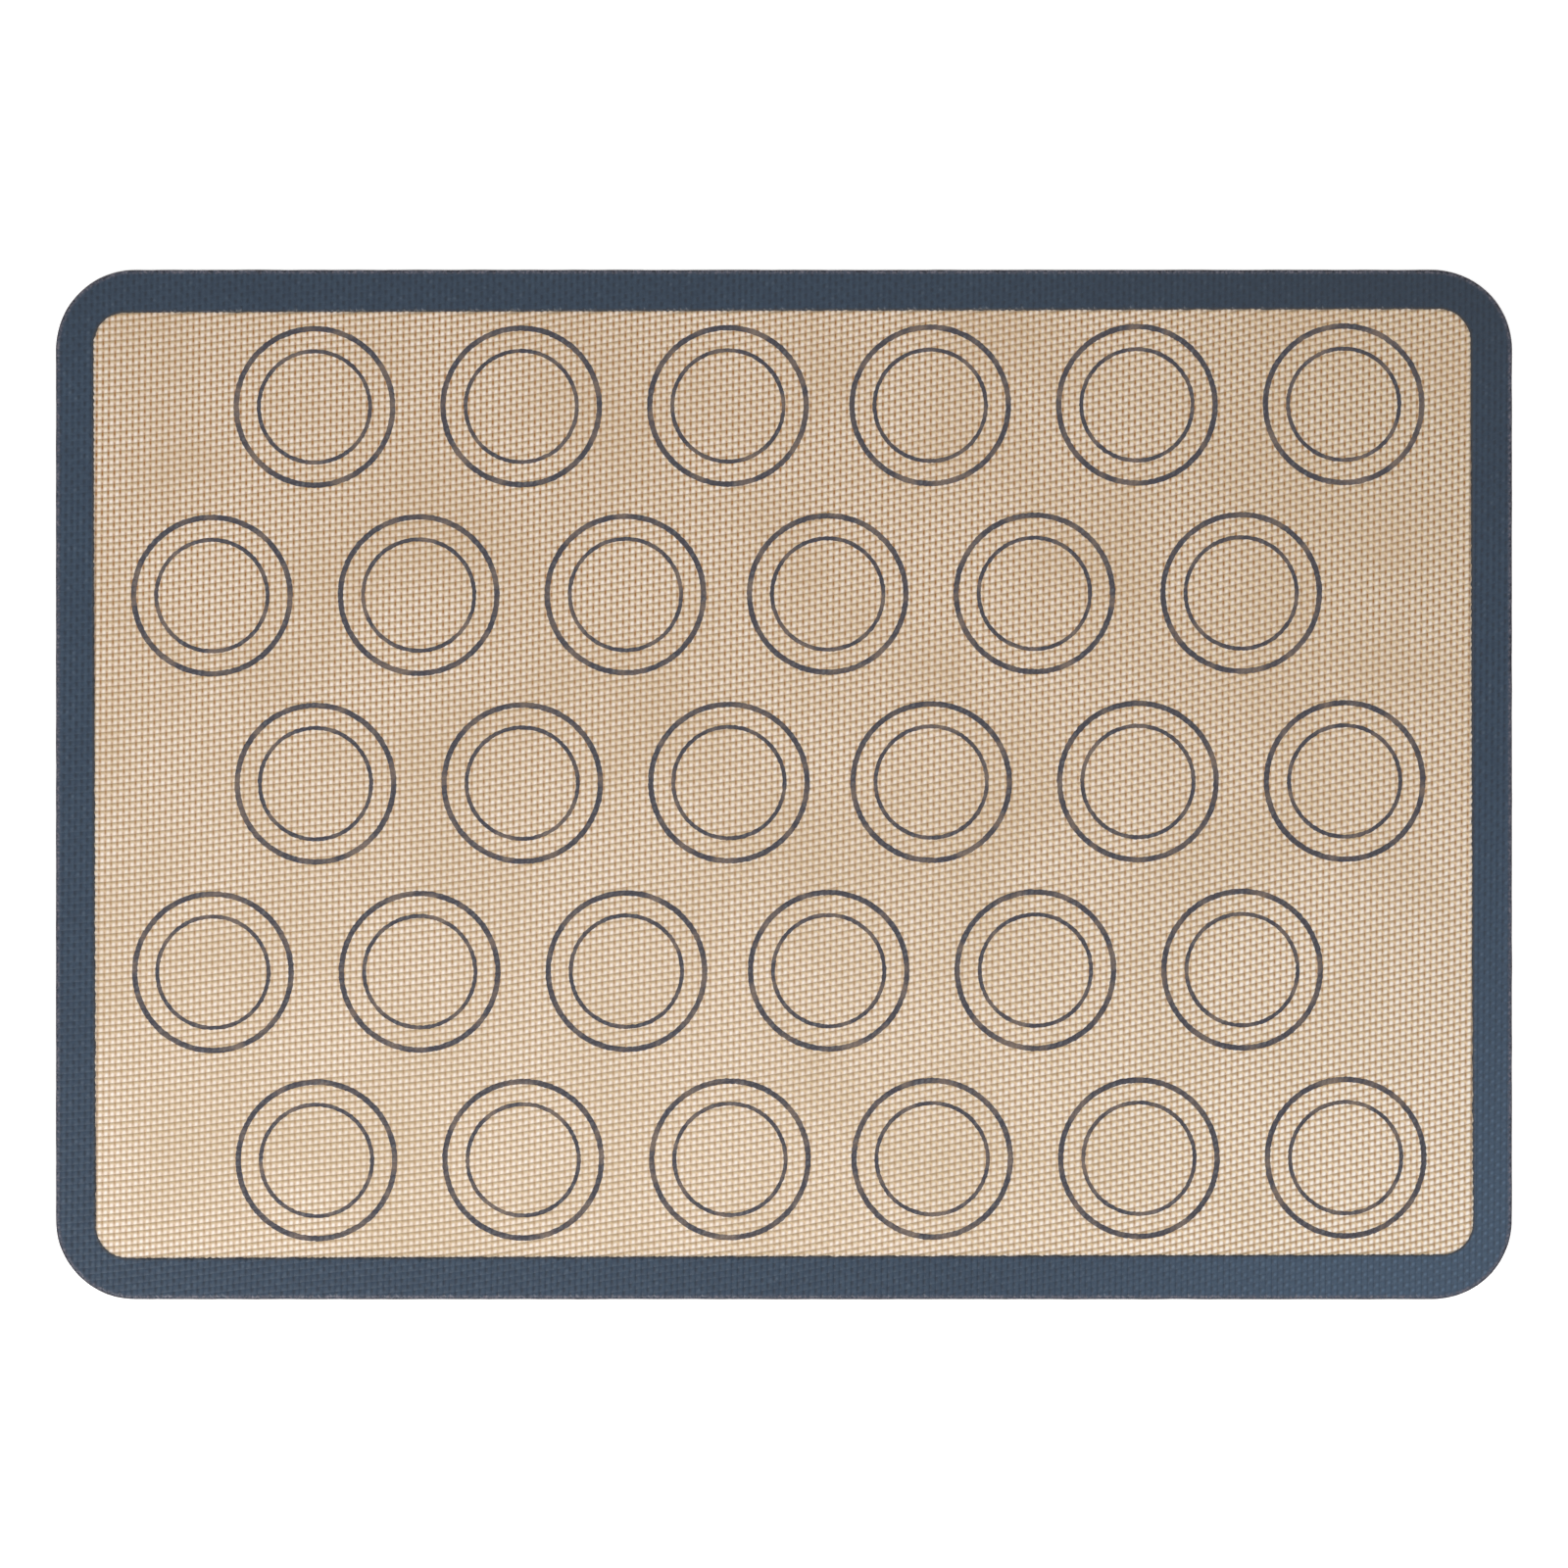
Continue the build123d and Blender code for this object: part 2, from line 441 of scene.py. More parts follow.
# Silicone coats: the tan faces of the mat, with the weave standing through them.
# A fade gives where it starts and ends, over the mat in metres or over a crossing from -1 to 1, and then its
# two shares where they aren't 0 and 1. A share of two numbers is a gain and what it starts from.
coat = {
    "body": paint(222, 200, 174),            # the near half of a crossing
    # pale crown: thin silicone over the white yarn, with a painted highlight
    "crown": paint(248, 238, 229),
    "warmCrownHighlight": paint(240, 222, 202),
    "warpShadedHead": paint(214, 194, 156),        # the far half in painted shade, where the warp is on top
    "weftShadedHead": paint(188, 163, 124),        # and where the weft is
    # painted shadow in the valleys between rows
    "rowShadow": paint(170, 152, 136),
    "gap": paint(156, 106, 50),
    "litCrownGap": paint(166, 122, 94),         # the same gap beside a crown, paler there with painted light
    "bridge": paint(232, 200, 158),          # where a yarn climbs out of a gap
    "patch": paint(196, 150, 104),
    "paleCloud": (1.026, 1.026, 1.038, 1),   # what the tint is multiplied by between the patches
    "darkCloud": (0.96, 0.96, 0.944, 1),     # and in them, and where painted shade darkens the far right corner
    "paintedSheen": paint(255, 250, 242),           # painted highlight: what the crowns of the near right quarter pale to
    "inkAndShade": paint(112, 104, 94),            # hollows beside the border, greyed by its print and by painted shade from its edge
    "patchSize": 42 * mm,
    "patchFade": (0.35, 0.75),
    "patchShare": (0.09, 0.09),
    "softSize": 0.9 * mm,
    "softFade": (0.3, 0.7),
    "backFade": (-0.14, 0.11),
    "apartFade": (-0.16, 0.17, 0.35, 1.0),   # how much the two kinds of crossing differ
    "paintedSheenAcross": (0.0, 0.16),
    "paintedSheenAlong": (-0.1, 0.04, 1, 0),
    "shadeAcross": (0.05, 0.2),
    "shadeAlong": (-0.02, 0.12),
    "shadedHeadFade": (-0.25, 0.75),
    "shadedHeadShare": (0.2, 0.85),
    "farRowShadowFade": (0.3, 1.0, 0, 0.5),
    "nearRowShadowFade": (-1.0, -0.7, 0.5, 0),
    "crownHighlightPlace": (0.95, 0.36),
    "crownFade": (0.1, 0.82, 0.95, 0),
    "sheenHighlightFade": (0.1, 0.95, 0.6, 0),
    "warmShare": 0.6,
    "gapFade": (0.4, 0.98),
    "gapSideFade": (-0.1, 0.1),
    "deepFade": (-0.7, 0.2, 0.55, 1.0),
    "shallowPlace": 0.1,
    "shallowFade": (0.1, 0.7, 0.3, 0.7),
    "shallowShare": (-0.4, 1.25),
    "gapBackShare": (0.56, 0.48),
    "gapPaintedSheenShare": 0.2,
    "gapPatchShare": (-0.2, 1.08),
    "gapColourFade": (-0.5, 0.1),
    "bridgeSlant": 0.9,
    "bridgeFade": (0.05, 0.55, 1, 0),
    "bridgeEndFade": (0.3, 0.8, 1, 0),
    "bridgeShare": 0.75,
    "inkAndShadeFade": (-0.9 * mm, 0.1 * mm, 0, 0.75),
    "hollowFade": (0.3, 0.9, 0.3, 1),
    "roughness": 0.38,
    "ior": 1.43,
    "bumpDepth": 0.1 * mm,
    "grain": 0.2,
    "rowDrop": 0.8,
    "rebateMargin": 0.3 * mm,                # how far outside the print's inner edge the underside steps up
}


def siliconeMaterial():
    material, tree, shader = newMaterial("tan_silicone")
    place = objectPlace(tree)
    placeX, placeY, _ = axesOf(tree, place)
    signs = weaveSigns(tree)
    sideU, sideV = signs["sideU"], signs["sideV"]
    patches = fade(tree, cloudy(tree, place, coat["patchSize"]), *coat["patchFade"])
    uneven = fade(tree, cloudy(tree, place, coat["softSize"]), *coat["softFade"])
    back = fade(tree, placeY, *coat["backFade"])
    apart = fade(tree, placeX, *coat["apartFade"])
    paintedSheen = regionOf(tree, placeX, placeY, coat["paintedSheenAcross"], coat["paintedSheenAlong"])
    shade = regionOf(tree, placeX, placeY, coat["shadeAcross"], coat["shadeAlong"])
    kind = calc(tree, "SUBTRACT", signs["warpOver"], 0.5)

    # Painted shade: the far half of each crossing, which turns away from the key lamp
    shadedHead = blend(tree, calc(tree, "MULTIPLY_ADD", kind, apart, 0.5), coat["weftShadedHead"], coat["warpShadedHead"])
    shadedHeadShare = calc(tree, "MULTIPLY", fade(tree, sideV, *coat["shadedHeadFade"]),
                     calc(tree, "MULTIPLY_ADD", uneven, *coat["shadedHeadShare"]))
    tint = blend(tree, shadedHeadShare, coat["body"], shadedHead)
    # Painted shadow along the valley between rows, on both sides of the crossing
    tint = blend(tree, fade(tree, sideV, *coat["farRowShadowFade"]), tint, coat["rowShadow"])
    tint = blend(tree, fade(tree, sideV, *coat["nearRowShadowFade"]), tint, coat["rowShadow"])
    # The pale crown is a thin coat over the white yarn, moved to the near side by a painted highlight
    fromCrownHighlight = calc(tree, "MULTIPLY_ADD", sideV, *coat["crownHighlightPlace"])
    reach = calc(tree, "SQRT", calc(tree, "ADD", calc(tree, "POWER", signs["offU"], 2.0),
                                    calc(tree, "MULTIPLY", fromCrownHighlight, fromCrownHighlight)))
    warm = calc(tree, "MULTIPLY", signs["chance"], coat["warmShare"])
    crown = blend(tree, warm, coat["crown"], coat["warmCrownHighlight"])
    tint = blend(tree, fade(tree, reach, *coat["crownFade"]), tint, crown)

    # A gap is deep beside the warp's left side only
    lean = calc(tree, "MULTIPLY", sideU, signs["handed"])
    deepShare = fade(tree, sideV, *coat["deepFade"])
    fromMiddle = calc(tree, "ABSOLUTE", calc(tree, "SUBTRACT", sideV, coat["shallowPlace"]))
    shallowShare = calc(tree, "MULTIPLY", fade(tree, fromMiddle, *coat["shallowFade"]),
                        calc(tree, "MULTIPLY_ADD", apart, *coat["shallowShare"]))
    whichGap = fade(tree, lean, *coat["gapSideFade"])
    gapShare = calc(tree, "ADD", calc(tree, "MULTIPLY", whichGap, deepShare),
                    calc(tree, "MULTIPLY", calc(tree, "SUBTRACT", 1, whichGap), shallowShare))
    gap = calc(tree, "MULTIPLY", fade(tree, signs["offU"], *coat["gapFade"]), gapShare)
    # Gaps show stronger toward the back and under the painted sheen
    strength = calc(tree, "MULTIPLY_ADD", paintedSheen, coat["gapPaintedSheenShare"],
                    calc(tree, "MULTIPLY_ADD", back, *coat["gapBackShare"]))
    strength = calc(tree, "MULTIPLY", strength, calc(tree, "MULTIPLY_ADD", patches, *coat["gapPatchShare"]))
    gapColour = blend(tree, fade(tree, sideV, *coat["gapColourFade"]), coat["litCrownGap"], coat["gap"])
    tint = blend(tree, calc(tree, "MULTIPLY", gap, strength, clamp=True), tint, gapColour)

    fromBridge = calc(tree, "ADD", sideU, signs["handed"])
    slant = calc(tree, "ABSOLUTE", calc(tree, "MULTIPLY_ADD", fromBridge, coat["bridgeSlant"], sideV))
    bridge = calc(tree, "MULTIPLY", fade(tree, slant, *coat["bridgeFade"]),
                  fade(tree, calc(tree, "ABSOLUTE", fromBridge), *coat["bridgeEndFade"]))
    bridgeShare = calc(tree, "MULTIPLY", bridge, calc(tree, "MULTIPLY", apart, coat["bridgeShare"]))
    tint = blend(tree, bridgeShare, tint, coat["bridge"])
    patchShare = calc(tree, "MULTIPLY", patches, calc(tree, "MULTIPLY_ADD", back, *coat["patchShare"]))
    tint = blend(tree, patchShare, tint, coat["patch"])
    # The dark cloud also carries painted shade over the far right corner
    cloud = blend(tree, calc(tree, "ADD", patches, shade, clamp=True), coat["paleCloud"], coat["darkCloud"])
    tint = blend(tree, 1.0, tint, cloud, "MULTIPLY")
    # Painted highlight: the crowns of the near right quarter pale toward white
    sheenHighlight = calc(tree, "MULTIPLY", paintedSheen, fade(tree, reach, *coat["sheenHighlightFade"]))
    tint = blend(tree, sheenHighlight, tint, coat["paintedSheen"])
    inkAndShade = fade(tree, rimSigns(tree)[0], *coat["inkAndShadeFade"])
    hollow = fade(tree, calc(tree, "MAXIMUM", signs["offU"], signs["offV"]), *coat["hollowFade"])
    tint = blend(tree, calc(tree, "MULTIPLY", inkAndShade, hollow), tint, coat["inkAndShade"])
    tree.links.new(tint, shader.inputs["Base Color"])
    shader.inputs["Roughness"].default_value = coat["roughness"]
    shader.inputs["IOR"].default_value = coat["ior"]
    pillowBump(tree, shader, signs, place, coat["bumpDepth"], coat["grain"], coat["rowDrop"])
    return material


def makeCoat(name, node, side, level, back, rebate, printPlace, material):
    bm = wovenCells(sheet["length"], sheet["width"])
    cutRounded(bm, sheet["length"], sheet["width"], sheet["radius"], upright, True)
    inner = innerOutline()
    for vert in bm.verts:
        vert.co.z = level + side * (vert.co.z - weave["crown"])
        if rebate and roundedDistance(vert.co, *inner) > coat["rebateMargin"]:
            vert.co.z -= side * rebate
    for face in bm.faces:
        face.smooth = True
    rim = [edge for edge in bm.edges if edge.is_boundary]
    for edge in rim:
        edge.smooth = False
    wall = bmesh.ops.extrude_edge_only(bm, edges=rim)["geom"]
    for vert in vertsAmong(wall):
        vert.co.z = back
    bmesh.ops.edgeloop_fill(bm, edges=[edge for edge in bm.edges if edge.is_boundary])
    bmesh.ops.recalc_face_normals(bm, faces=bm.faces)
    markWeave(bm)
    markRims(bm, printPlace, inner)
    piece = pieceFrom(bm, name, material)
    fitPiece(piece, node)
    return piece


# Border bands: slate silicone printed over the rim of each face
band = {
    "sideWidth": 11.5 * mm,
    "longWidth": 12.2 * mm,
    "innerRadius": 9.2 * mm,
    "topPlace": Matrix.Translation((-0.2 * mm, 0.3 * mm, 0)) @ Matrix.Rotation(math.radians(0.15), 4, "Z"),
    "reliefShare": 0.45,
    "ragged": 0.3 * mm,
    "raggedScale": 1.1 * mm,
    "rimReach": 0.5 * mm,                    # what still counts as the inner edge
    "clearing": 5 * mm,                      # how far inside that edge the crossings are dropped first
    "sharpAngle": math.radians(60),
    "colour": paint(35, 51, 69),
    "ribColour": paint(50, 67, 85),
    "glintColour": paint(84, 98, 114),
    "paintedShadeColour": paint(24, 34, 46),
    "paintedSheenColour": paint(78, 98, 120),
    "rimColour": paint(68, 70, 82),
    "yarnEndColour": paint(112, 108, 118),   # cut ends of the glass yarns, pale under the silicone
    "innerEdgeColour": paint(52, 50, 50),
    "patchSize": 20 * mm,
    "patchFade": (0.3, 0.7),
    "mottleSize": 1.1 * mm,
    "mottleFade": (0.35, 0.7, 0, 0.6),
    "paintedSheenAcross": (0.04, 0.2),
    "paintedSheenAlong": (-0.15, 0.04, 1, 0),
    "shadeAcross": (0.0, 0.2, 0, 0.3),
    "shadeAlong": (0.03, 0.13),
    "farShade": (0.11, 0.145, 0, 0.18),
    "ribFade": (0.05, 0.85, 1, 0),
    "ribShare": (0.3, 0.3),
    "crownFade": (0, 0.8, 1, 0),
    "glintChance": (0.85, 1.0, 0, 0.45),
    "dimpleShadeAcross": (0.2, 0.9),
    "dimpleShadeAlong": (-0.7, 0.1),
    "dimpleShadeShare": (0.25, 0.55),
    "highShare": (0.75, 0.2),
    "litShare": (0.8, 0.33),
    "rimFade": (-1.6 * mm, -0.7 * mm),
    "rimShare": 0.55,
    "yarnEndSize": 0.8 * mm,
    "yarnEndFade": (0.42, 0.7, 0, 0.8),
    "innerEdgeFade": (0.2 * mm, 0.9 * mm, 0.75, 0),
    "roughness": 0.45,
    "specular": 0.35,
    "bumpDepth": 0.1 * mm,
    "grain": 0.2,
    "rowDrop": 0.5,
}


def innerOutline():
    return (cadHigh.x - cadLow.x - 2 * band["sideWidth"], cadHigh.y - cadLow.y - 2 * band["longWidth"],
            band["innerRadius"])


def slateMaterial():
    material, tree, shader = newMaterial("slate_silicone")
    place = objectPlace(tree)
    signs = weaveSigns(tree)
    fromPrintEdge, fromCutEdge, _ = rimSigns(tree)
    placeX, placeY, _ = axesOf(tree, place)
    patches = fade(tree, cloudy(tree, place, band["patchSize"]), *band["patchFade"])
    paintedSheen = regionOf(tree, placeX, placeY, band["paintedSheenAcross"], band["paintedSheenAlong"])
    rib = fade(tree, signs["offU"], *band["ribFade"])
    ribShare = calc(tree, "MULTIPLY", rib, calc(tree, "MULTIPLY_ADD", patches, *band["ribShare"]))
    mottle = fade(tree, cloudy(tree, place, band["mottleSize"]), *band["mottleFade"])
    tint = blend(tree, calc(tree, "ADD", ribShare, mottle, clamp=True), band["colour"], band["ribColour"])
    crown = calc(tree, "MULTIPLY", rib, fade(tree, signs["offV"], *band["crownFade"]))
    # Painted glints on a few crowns
    glints = calc(tree, "MULTIPLY", crown, fade(tree, signs["chance"], *band["glintChance"]))
    tint = blend(tree, glints, tint, band["glintColour"])
    # Painted shade in the hollow beside each crossing, deeper in the near right quarter
    lean = calc(tree, "MULTIPLY", signs["sideU"], signs["handed"])
    dimpleShade = calc(tree, "MULTIPLY", fade(tree, lean, *band["dimpleShadeAcross"]),
                  fade(tree, signs["sideV"], *band["dimpleShadeAlong"]))
    dimpleShadeShare = calc(tree, "MULTIPLY", dimpleShade, calc(tree, "MULTIPLY_ADD", paintedSheen, *band["dimpleShadeShare"]))
    tint = blend(tree, dimpleShadeShare, tint, band["paintedShadeColour"])
    # Painted highlight on the raised crossings of the near right quarter
    high = calc(tree, "MULTIPLY", crown, calc(tree, "MULTIPLY_ADD", signs["warpOver"], *band["highShare"]))
    lit = calc(tree, "MULTIPLY", paintedSheen, calc(tree, "MULTIPLY_ADD", high, *band["litShare"]))
    tint = blend(tree, lit, tint, band["paintedSheenColour"])
    # Painted shade toward the far edge and the far right
    shade = calc(tree, "MULTIPLY_ADD", fade(tree, placeX, *band["shadeAcross"]),
                 fade(tree, placeY, *band["shadeAlong"]), fade(tree, placeY, *band["farShade"]))
    tint = blend(tree, shade, tint, band["paintedShadeColour"])
    rim = fade(tree, fromCutEdge, *band["rimFade"])
    tint = blend(tree, calc(tree, "MULTIPLY", rim, band["rimShare"]), tint, band["rimColour"])
    ends = fade(tree, cloudy(tree, place, band["yarnEndSize"]), *band["yarnEndFade"])
    tint = blend(tree, calc(tree, "MULTIPLY", ends, rim), tint, band["yarnEndColour"])
    # Darker along the print's inner edge, where the print thins, deepened with painted shade
    tint = blend(tree, fade(tree, fromPrintEdge, *band["innerEdgeFade"]), tint, band["innerEdgeColour"])
    tree.links.new(tint, shader.inputs["Base Color"])
    shader.inputs["Roughness"].default_value = band["roughness"]
    shader.inputs["Specular IOR Level"].default_value = band["specular"]
    pillowBump(tree, shader, signs, place, band["bumpDepth"], band["grain"], band["rowDrop"])
    return material


def makeBand(name, node, side, level, place, material):
    inner = innerOutline()
    bm = wovenCells(sheet["length"], sheet["width"])
    back = place.inverted()
    clearing = (inner[0] - 2 * band["clearing"], inner[1] - 2 * band["clearing"], band["innerRadius"])
    middle = [face for face in bm.faces if roundedDistance(back @ face.verts[0].co, *clearing) < 0]
    bmesh.ops.delete(bm, geom=middle, context="FACES")
    cutRounded(bm, sheet["length"], sheet["width"], sheet["radius"], upright, True)
    cutRounded(bm, *inner, place, False)
    for vert in bm.verts:
        if vert.is_boundary and abs(roundedDistance(back @ vert.co, *inner)) < band["rimReach"]:
            flat = Vector((vert.co.x, vert.co.y, 0))
            swing = noise.noise(flat / band["raggedScale"]) * band["ragged"]
            heart = nearestInside(flat, inner[0] / 2 - inner[2], inner[1] / 2 - inner[2])
            vert.co += (flat - heart).normalized() * swing
        sink = weave["crown"] - vert.co.z
        vert.co.z = level - side * sink
    for face in bm.faces:
        face.smooth = True
    made = bmesh.ops.extrude_face_region(bm, geom=bm.faces[:], use_keep_orig=True)["geom"]
    for vert in vertsAmong(made):
        sink = side * (level - vert.co.z)
        vert.co.z = level + side * (sheet["printThickness"] - sink * band["reliefShare"])
    for edge in bm.edges:
        if len(edge.link_faces) == 2 and edge.calc_face_angle(0) > band["sharpAngle"]:
            edge.smooth = False
    bmesh.ops.recalc_face_normals(bm, faces=bm.faces)
    markWeave(bm)
    markRims(bm, place, inner)
    piece = pieceFrom(bm, name, material)
    fitPiece(piece, node)
    return piece


# Portion guides: two thin printed rings each, lying over the weave
guide = {
    "outerLine": 1.4 * mm,
    "innerLine": 0.9 * mm,
    "ringGap": 5.35 * mm,
    "outerSteps": 240,
    "innerSteps": 180,
    "sink": 0.02 * mm,
    "outerBleed": 0.07 * mm,     # how far the ink has spread past the line, on each side
    "innerBleed": 0.12 * mm,
    "ragged": 0.2 * mm,
    "raggedScale": 0.9 * mm,
    "colour": paint(61, 58, 65),
    "crownHighlightColour": paint(98, 101, 107),
    "wornColour": paint(136, 117, 102),
    "crownFade": (0.1, 0.8, 1, 0),
    "crownChance": (0, 1, 0.2, 0.9),
    "wornSize": 7 * mm,
    "wornFade": (0.42, 0.72, 0, 0.6),
    "roughness": 0.5,
    "specular": 0.35,
    "bumpDepth": 0.1 * mm,
    "grain": 0.15,
    "rowDrop": 0.8,
    "rimShare": 0.45,            # the share of a line's width past which a point is on its rim
}


def guideMaterial():
    material, tree, shader = newMaterial("guide_print")
    place = objectPlace(tree)
    signs = weaveSigns(tree)
    # Painted highlights on some crowns of the ring
    crown = calc(tree, "MULTIPLY", fade(tree, signs["offU"], *guide["crownFade"]),
                 fade(tree, signs["offV"], *guide["crownFade"]))
    tint = blend(tree, calc(tree, "MULTIPLY", crown, fade(tree, signs["chance"], *guide["crownChance"])),
                 guide["colour"], guide["crownHighlightColour"])
    worn = fade(tree, cloudy(tree, place, guide["wornSize"]), *guide["wornFade"])
    tint = blend(tree, worn, tint, guide["wornColour"])
    tree.links.new(tint, shader.inputs["Base Color"])
    shader.inputs["Roughness"].default_value = guide["roughness"]
    shader.inputs["Specular IOR Level"].default_value = guide["specular"]
    pillowBump(tree, shader, signs, place, guide["bumpDepth"], guide["grain"], guide["rowDrop"])
    return material


def ringTemplate(outerRadius, line, steps, thickness):
    bm = bmesh.new()
    profile = [(outerRadius - line, 0), (outerRadius - line, 1), (outerRadius - line * 2 / 3, 1),
               (outerRadius - line / 3, 1), (outerRadius, 1), (outerRadius, 0)]
    verts = [bm.verts.new((radius, 0, top * thickness)) for radius, top in profile]
    edges = [bm.edges.new((verts[index], verts[index - 1])) for index in range(len(verts))]
    bmesh.ops.spin(bm, geom=verts + edges, cent=(0, 0, 0), axis=(0, 0, 1), angle=2 * math.pi, steps=steps,
                   use_merge=True)
    bmesh.ops.recalc_face_normals(bm, faces=bm.faces)
    return bm


def layRing(template, heart, outerRadius, line, thickness):
    bm = template.copy()
    for vert in bm.verts:
        out = Vector((vert.co.x, vert.co.y, 0))
        onRim = abs(out.length - outerRadius + line / 2) > line * guide["rimShare"]
        top = thickness if vert.co.z > thickness / 2 else -guide["sink"]
        vert.co.x += heart.x
        vert.co.y += heart.y
        if onRim:
            swing = noise.noise(Vector((vert.co.x, vert.co.y, 0)) / guide["raggedScale"])
            vert.co += out.normalized() * swing * guide["ragged"]
        vert.co.z = sheet["faceLevel"] - weave["crown"] + reliefAt(vert.co.x, vert.co.y) + top
    return bm


def makeGuides(material):
    nodes = sorted(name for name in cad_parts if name.startswith("guide_row"))
    low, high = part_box(nodes[0])
    thickness = high.z - low.z
    outerRadius = (high.x - low.x) / 2
    innerRadius = outerRadius - guide["outerLine"] - guide["ringGap"]
    outerBleed, innerBleed = guide["outerBleed"], guide["innerBleed"]
    rings = [(outerRadius + outerBleed, guide["outerLine"] + 2 * outerBleed, guide["outerSteps"]),
             (innerRadius + innerBleed, guide["innerLine"] + 2 * innerBleed, guide["innerSteps"])]
    templates = [ringTemplate(radius, line, steps, thickness) for radius, line, steps in rings]
    for node in nodes:
        low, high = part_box(node)
        heart = (low + high) / 2
        joined = bmesh.new()
        for template, (radius, line, steps) in zip(templates, rings):
            ring = layRing(template, heart, radius, line, thickness)
            mesh = bpy.data.meshes.new("ring")
            ring.to_mesh(mesh)
            ring.free()
            joined.from_mesh(mesh)
            bpy.data.meshes.remove(mesh)
        markWeave(joined)
        fitPiece(pieceFrom(joined, "printed_" + node, material), node)
    for template in templates:
        template.free()
    return len(nodes)


# Edge seal: a bead of silicone round the cut edge, which wanders a little as scissors do
seal = {
    "cornerSteps": 26,
    "stepLength": 1.6 * mm,
    "round": 0.12 * mm,
    "waver": 0.16 * mm,
    "waverScale": 8 * mm,
    "nick": 0.07 * mm,
    "nickScale": 1.2 * mm,
    "patchSize": 1.1 * mm,
    "colour": paint(54, 50, 53),
    "paleColour": paint(98, 94, 104),
    "insideFade": (-0.34 * mm, -0.12 * mm, 1, 0),
    "patchFade": (0.35, 0.65),
    "roughness": 0.5,
    "specular": 0.3,
    "mergeDistance": 0.01 * mm,
}


def sealMaterial():
    material, tree, shader = newMaterial("edge_silicone")
    place = objectPlace(tree)
    # The bead's outer wall is dark with painted shade; its top is paler, uneven silicone
    inside = fade(tree, rimSigns(tree)[1], *seal["insideFade"])
    uneven = fade(tree, cloudy(tree, place, seal["patchSize"]), *seal["patchFade"])
    tint = blend(tree, calc(tree, "MULTIPLY", inside, uneven), seal["colour"], seal["paleColour"])
    tree.links.new(tint, shader.inputs["Base Color"])
    shader.inputs["Roughness"].default_value = seal["roughness"]
    shader.inputs["Specular IOR Level"].default_value = seal["specular"]
    return material


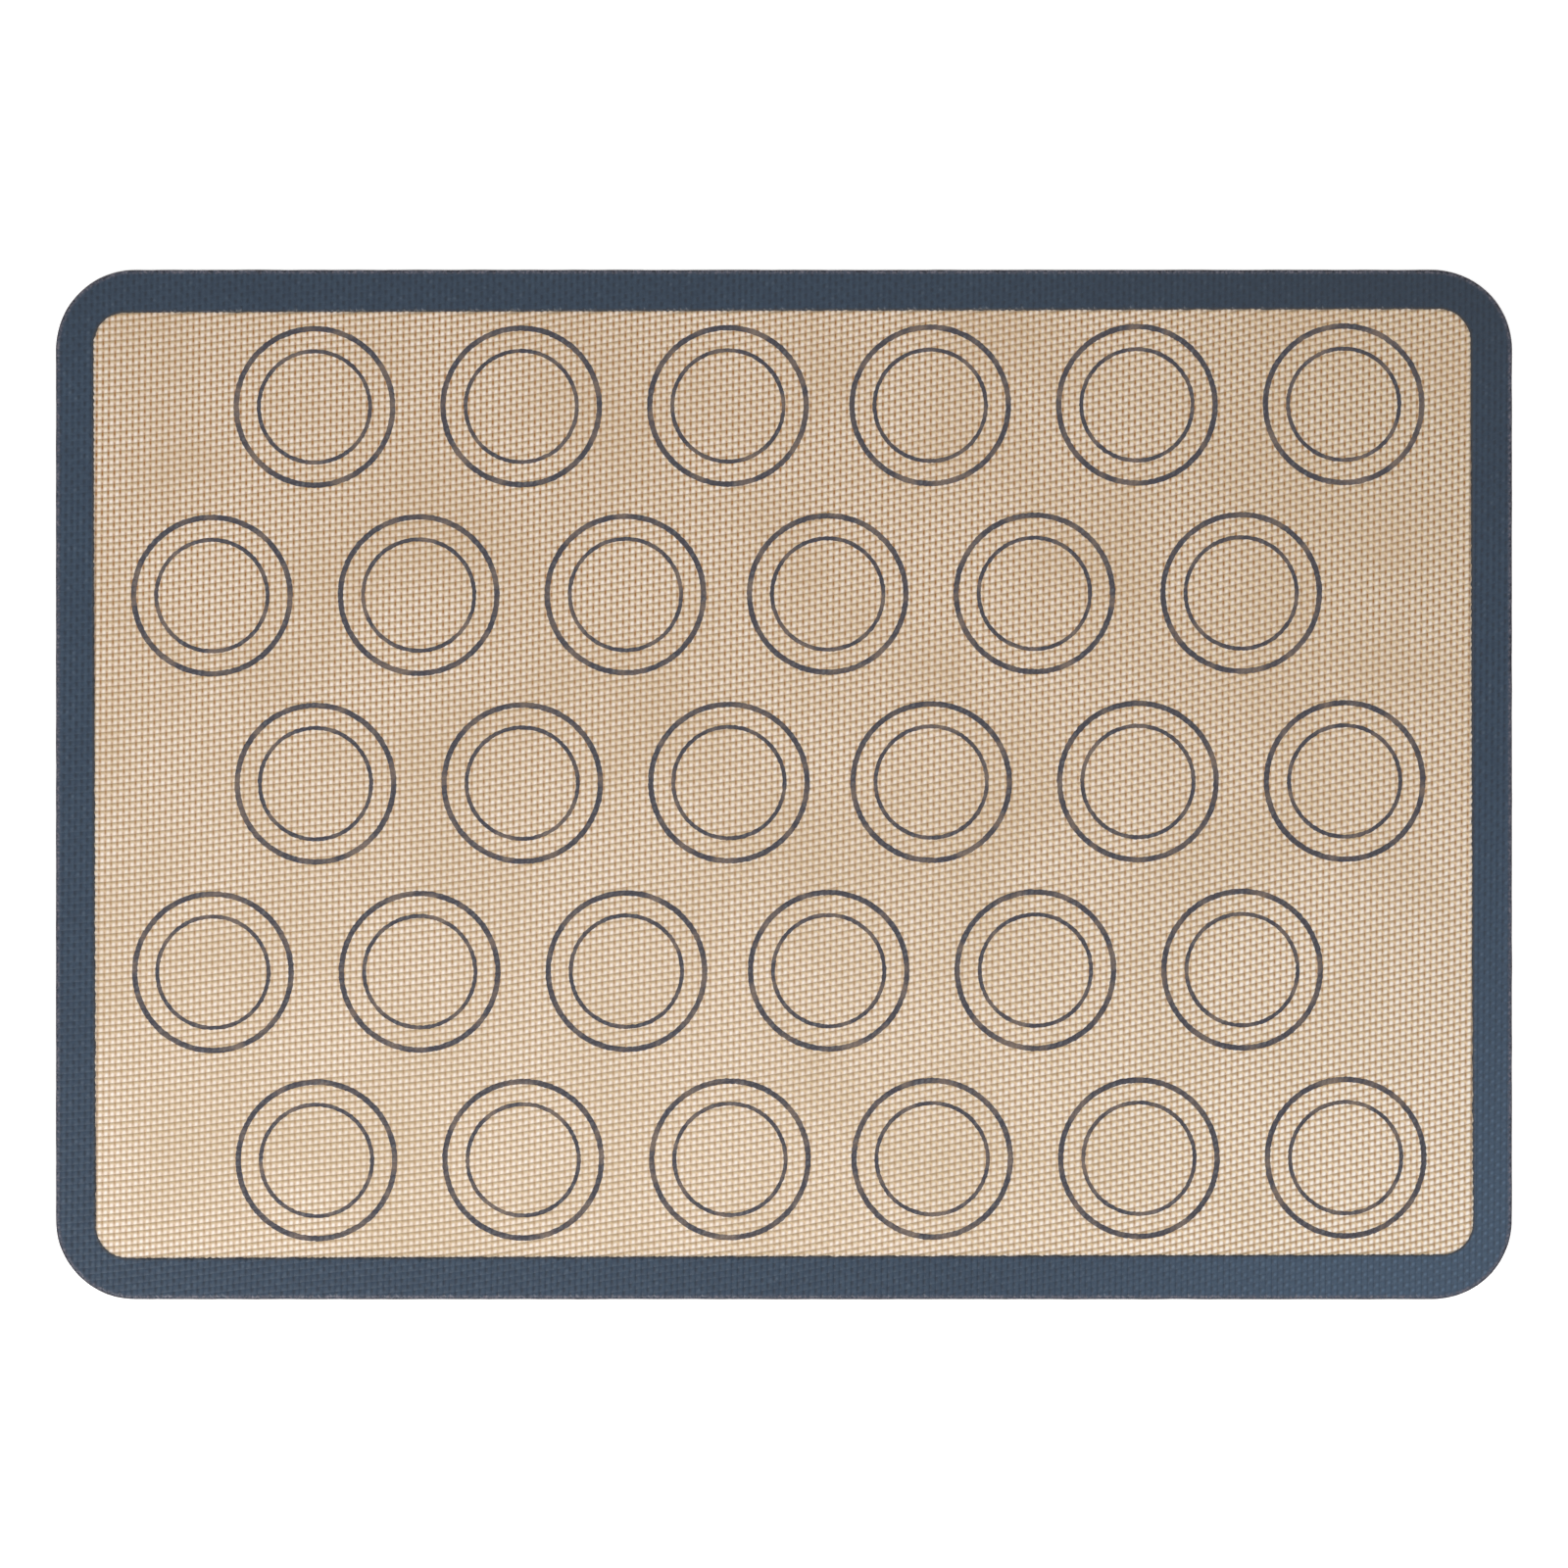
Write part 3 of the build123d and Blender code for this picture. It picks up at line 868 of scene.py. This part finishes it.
def makeSeal(material):
    low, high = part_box("edge_seal")
    wall, height = high.x - coatHigh.x, high.z - low.z
    straightX, straightY = coatHigh.x - sheet["radius"], coatHigh.y - sheet["radius"]
    bm = bmesh.new()
    bmesh.ops.create_grid(bm, x_segments=1, y_segments=1, size=0.5)
    bmesh.ops.scale(bm, vec=(wall, height, 1), verts=bm.verts)
    bmesh.ops.rotate(bm, cent=(0, 0, 0), matrix=Matrix.Rotation(math.radians(90), 3, "X"), verts=bm.verts)
    bmesh.ops.translate(bm, vec=(coatHigh.x + wall / 2, -straightY, height / 2), verts=bm.verts)
    outer = [vert for vert in bm.verts if vert.co.x > coatHigh.x + wall / 2]
    bmesh.ops.bevel(bm, geom=outer, offset=seal["round"], affect="VERTICES", segments=3, profile=0.5,
                    material=-1)
    bmesh.ops.delete(bm, geom=bm.faces[:], context="FACES_ONLY")
    section = bm.verts[:] + bm.edges[:]
    for turn in range(4):
        angle = math.radians(90 * turn)
        along = Vector((-math.sin(angle), math.cos(angle), 0))
        run = 2 * (straightX if turn % 2 else straightY)
        steps = round(run / seal["stepLength"])
        section = bmesh.ops.spin(bm, geom=section, cent=(0, 0, 0), axis=(0, 0, 1), dvec=along * run / steps,
                                 angle=0, steps=steps)["geom_last"]
        corner = (straightX * (1 if turn in (0, 3) else -1), straightY * (1 if turn < 2 else -1), 0)
        section = bmesh.ops.spin(bm, geom=section, cent=corner, axis=(0, 0, 1), angle=math.radians(90),
                                 steps=seal["cornerSteps"])["geom_last"]
    bmesh.ops.remove_doubles(bm, verts=bm.verts, dist=seal["mergeDistance"])
    bmesh.ops.recalc_face_normals(bm, faces=bm.faces)
    markWeave(bm)
    markRims(bm, upright, innerOutline())
    for vert in bm.verts:
        spot = Vector((vert.co.x, vert.co.y, 0))
        out = spot - nearestInside(spot, straightX, straightY)
        if out.length > sheet["radius"] + wall / 2:
            swing = (noise.noise(spot / seal["waverScale"]) - 1) / 2 * seal["waver"]
            swing += (noise.noise(spot / seal["nickScale"]) - 1) / 2 * seal["nick"]
            vert.co += out.normalized() * swing
    for face in bm.faces:
        face.smooth = True
    fitPiece(pieceFrom(bm, "edge_bead", material), "edge_seal")


# Glass yarns keep their frame meshes and take a finish of their own
yarns = {
    "strandSize": 0.2 * mm,
    "shade": paint(214, 204, 186),
    "light": paint(244, 238, 226),
    "roughness": 0.6,
}


def yarnMaterial():
    material, tree, shader = newMaterial("glass_yarn")
    strands = cloudy(tree, objectPlace(tree), yarns["strandSize"])
    tree.links.new(blend(tree, strands, yarns["shade"], yarns["light"]), shader.inputs["Base Color"])
    shader.inputs["Roughness"].default_value = yarns["roughness"]
    return material


def dress(node, material):
    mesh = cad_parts[node].data
    mesh.materials.clear()
    mesh.materials.append(material)


makeCamera()
makeSky()
makeLamp("key_lamp", lamps["key"])
makeLamp("back_lamp", lamps["back"])
makeFloor()
bpy.context.scene.view_settings.view_transform = "Standard"
print("camera, lamps and floor made")

silicone = siliconeMaterial()
topCoat = makeCoat("top_coat", "top_silicone_coat", 1, sheet["faceLevel"], sheet["coatBack"], 0,
                   band["topPlace"], silicone)
print("top coat made,", len(topCoat.data.polygons), "faces")
baseCoat = makeCoat("bottom_coat", "bottom_silicone_coat", -1, baseLow.z, sheet["baseBack"],
                    sheet["printThickness"], upright, silicone)
print("bottom coat made,", len(baseCoat.data.polygons), "faces")

slate = slateMaterial()
topBand = makeBand("top_border", "top_border_band", 1, sheet["faceLevel"], band["topPlace"], slate)
makeBand("underside_border", "underside_border_band", -1, sheet["printThickness"], upright, slate)
print("border bands made,", len(topBand.data.polygons), "faces on top")

print("portion guides made:", makeGuides(guideMaterial()))
makeSeal(sealMaterial())
print("edge bead made")

yarn = yarnMaterial()
dress("warp_glass_yarns", yarn)
dress("weft_glass_yarns", yarn)
print("yarns finished")
